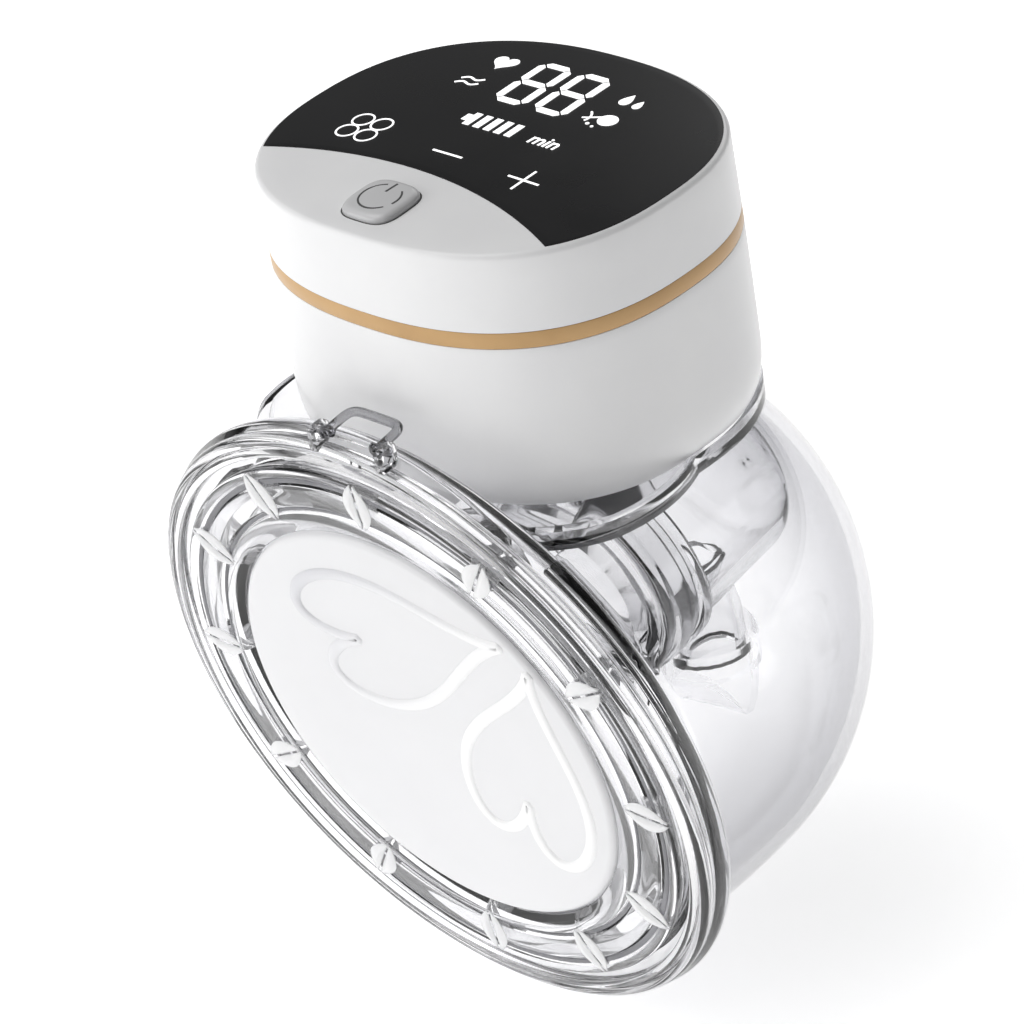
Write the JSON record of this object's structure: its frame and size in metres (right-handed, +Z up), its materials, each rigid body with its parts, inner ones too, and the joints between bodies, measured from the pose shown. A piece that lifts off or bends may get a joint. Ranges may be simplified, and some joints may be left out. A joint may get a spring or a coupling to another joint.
{
  "type": "wearable breast pump",
  "caption": "Hands-free wearable breast pump: clear domed milk cup with a round covered flange, and an oval battery pump unit with a display on its tray.",
  "frame": {"origin": "on the flat foot under the cup, in the plane the pump stands on, under the pump unit's axis", "axes": "+Z up, +X across the width, +Y towards the front of the milk cup's dome; the breast flange faces -Y"},
  "size_m": [0.106, 0.086, 0.1359],
  "materials": {
    "clear_cup": "clear moulded copolyester",
    "clear_tray": "clear moulded copolyester",
    "clear_silicone": "clear food-grade silicone",
    "clear_linker": "clear moulded plastic",
    "white_silicone": "soft translucent white silicone",
    "milky_cover": "milky translucent plastic",
    "frosted_tabs": "frosted plastic",
    "clear_loop": "clear plastic",
    "white_housing": "satin white moulding",
    "gold_band": "satin gold-tan trim",
    "black_panel": "glossy black",
    "grey_button": "satin grey",
    "circuit_board": "green solder mask",
    "display_module": "moulded display block",
    "black_plastic": "black moulding",
    "grey_plastic": "grey moulding",
    "spring_steel": "bare spring wire",
    "plated_steel": "nickel plated",
    "motor_steel": "zinc plated",
    "battery_foil": "foil pouch",
    "foam": "grey foam",
    "black_rubber": "moulded rubber",
    "hose_silicone": "milky silicone hose"
  },
  "bodies": {
    "collector": {"collector_ring": "clear_cup", "collector_cup": "clear_cup", "cup_tray": "clear_tray", "breast_shield": "clear_silicone", "shield_tunnel_sleeve": "clear_silicone", "linker": "clear_linker", "suction_diaphragm": "white_silicone", "duckbill_valve": "white_silicone"},
    "strap_loop": {"strap_loop": "clear_loop"},
    "dust_cover": {"dust_cover": "milky_cover", "cover_snap_tabs": "frosted_tabs"},
    "pump_unit": {"lower_shell": "white_housing", "accent_band": "gold_band", "upper_shell": "white_housing", "display_panel": "black_panel", "main_board": "circuit_board", "led_display": "display_module", "power_switch_body": "black_plastic", "touch_key_contacts": "spring_steel", "battery_cell": "battery_foil", "battery_foam_pad": "foam", "usb_c_port": "plated_steel", "board_screws": "plated_steel", "pump_motor": "motor_steel", "motor_saddle": "black_plastic", "crank_case": "grey_plastic", "pump_membrane": "black_rubber", "valve_cap": "grey_plastic", "release_valve_case": "motor_steel", "plunger_spring": "spring_steel", "air_nozzle": "grey_plastic", "nozzle_gasket": "white_silicone", "air_hose": "hose_silicone", "valve_hose": "hose_silicone"},
    "power_button": {"power_button": "grey_button"},
    "pump_rotor": {"motor_shaft": "plated_steel", "crank_disc": "black_plastic"},
    "valve_plunger": {"valve_plunger": "plated_steel"}
  },
  "joints": [
    {"name": "strap_loop_hinge", "type": "hinge", "parent": "collector", "child": "strap_loop", "pos_m": [0.0015, -0.0371, 0.10614], "axis": [1, 0, 0], "range_deg": [0, 100]},
    {"name": "dust_cover_pull", "type": "slide", "parent": "collector", "child": "dust_cover", "axis": [0, -0.9877, -0.1564], "range_m": [0, 0.06]},
    {"name": "pump_unit_lift", "type": "slide", "parent": "collector", "child": "pump_unit", "axis": [0, 0, 1], "range_m": [0, 0.06]},
    {"name": "power_button_press", "type": "slide", "parent": "pump_unit", "child": "power_button", "axis": [0, 0, -1], "range_m": [0, 0.0006], "stiffness_N_per_m": 800, "springref_m": -0.0005},
    {"name": "pump_rotor_spin", "type": "hinge", "parent": "pump_unit", "child": "pump_rotor", "pos_m": [0, -0.008, 0.1052], "axis": [1, 0, 0], "continuous": true},
    {"name": "valve_plunger_pull", "type": "slide", "parent": "pump_unit", "child": "valve_plunger", "axis": [0, 0, -1], "range_m": [0, 0.001], "stiffness_N_per_m": 150, "springref_m": -0.002, "deforming": ["plunger_spring"]}
  ]
}
